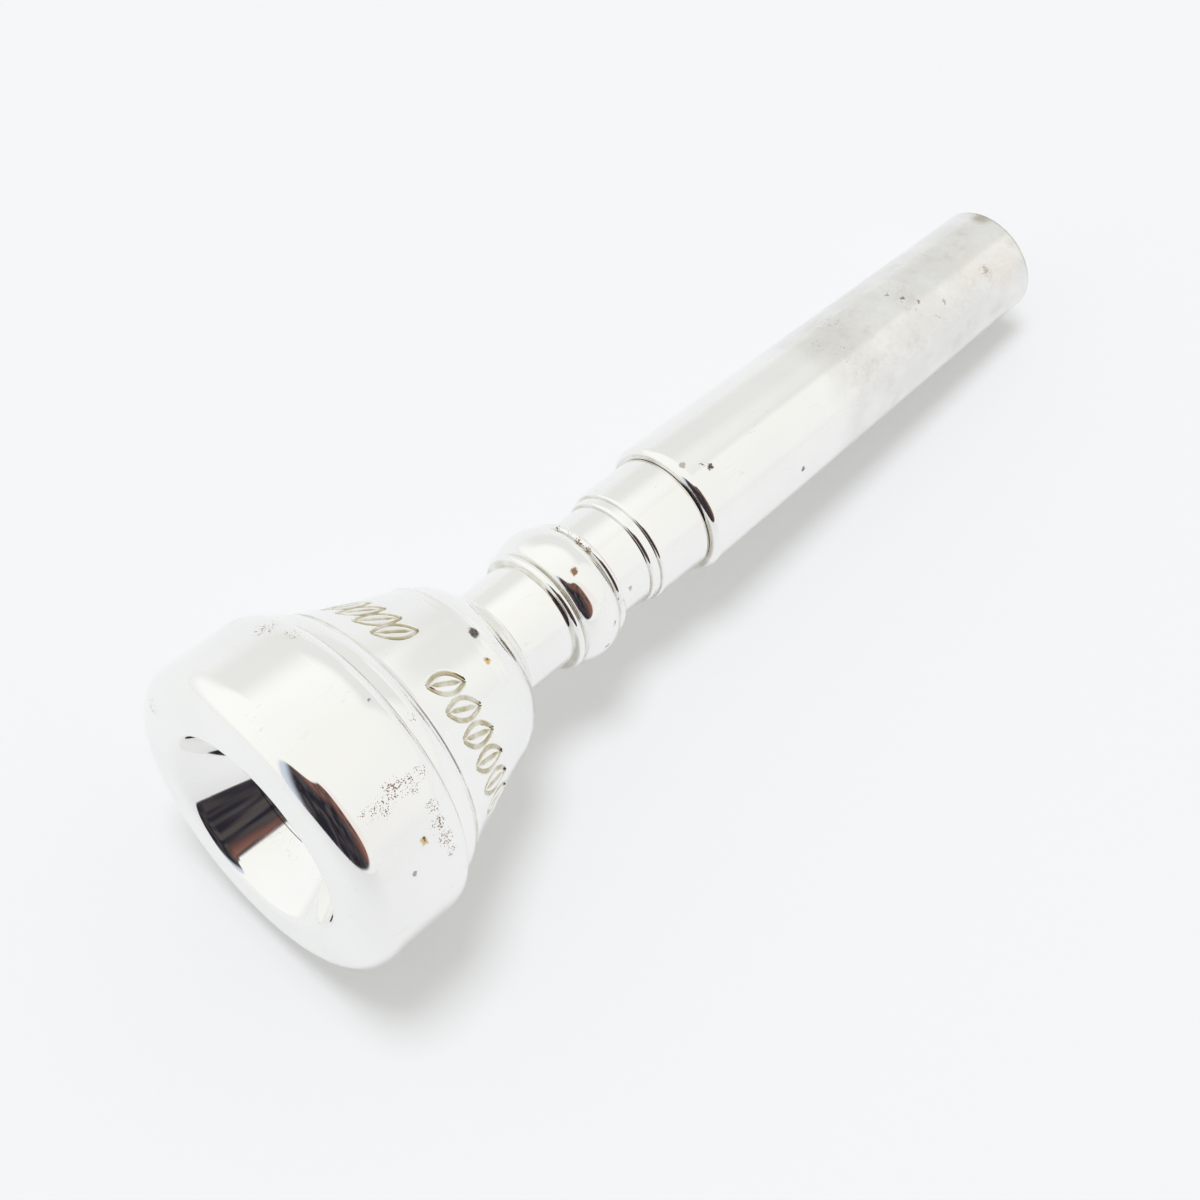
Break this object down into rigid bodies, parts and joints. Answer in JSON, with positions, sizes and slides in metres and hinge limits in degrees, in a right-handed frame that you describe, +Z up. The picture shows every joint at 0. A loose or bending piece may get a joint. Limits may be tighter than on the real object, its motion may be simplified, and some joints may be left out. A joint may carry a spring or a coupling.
{
  "type": "trumpet mouthpiece",
  "caption": "Modular trumpet mouthpiece lying on its side: screw rim, tapering bowl cup, beaded backbore neck and tapered shank sleeve, all turned and silver-plated.",
  "frame": {"origin": "bottom centre of the bounding box, on the surface the mouthpiece lies on", "axes": "+Z up; the turned axis lies in the YZ plane, the rim faces -Y and the shank points along +Y, sloping down by 6.06 degrees because both the rim and the shank's end touch the surface"},
  "size_m": [0.0268, 0.0886, 0.0272],
  "materials": {
    "rim": "bright silver plate on brass, with tarnish specks",
    "cup": "bright silver plate on brass",
    "backbore": "bright silver plate on brass, pitted at the beads",
    "shank_sleeve": "silver plate on brass, worn dull on the outer half"
  },
  "bodies": {
    "shank_body": {"shank_sleeve": "shank_sleeve"},
    "backbore_body": {"backbore": "backbore"},
    "cup_body": {"cup": "cup"},
    "rim_body": {"rim": "rim"}
  },
  "joints": [
    {"name": "backbore_pull", "type": "slide", "parent": "shank_body", "child": "backbore_body", "axis": [0, -0.9944, 0.1056], "range_m": [0, 0.024]},
    {"name": "cup_unscrew", "type": "slide", "parent": "backbore_body", "child": "cup_body", "axis": [0, -0.9944, 0.1056], "range_m": [0, 0.014]},
    {"name": "rim_unscrew", "type": "slide", "parent": "cup_body", "child": "rim_body", "axis": [0, -0.9944, 0.1056], "range_m": [0, 0.012]}
  ]
}
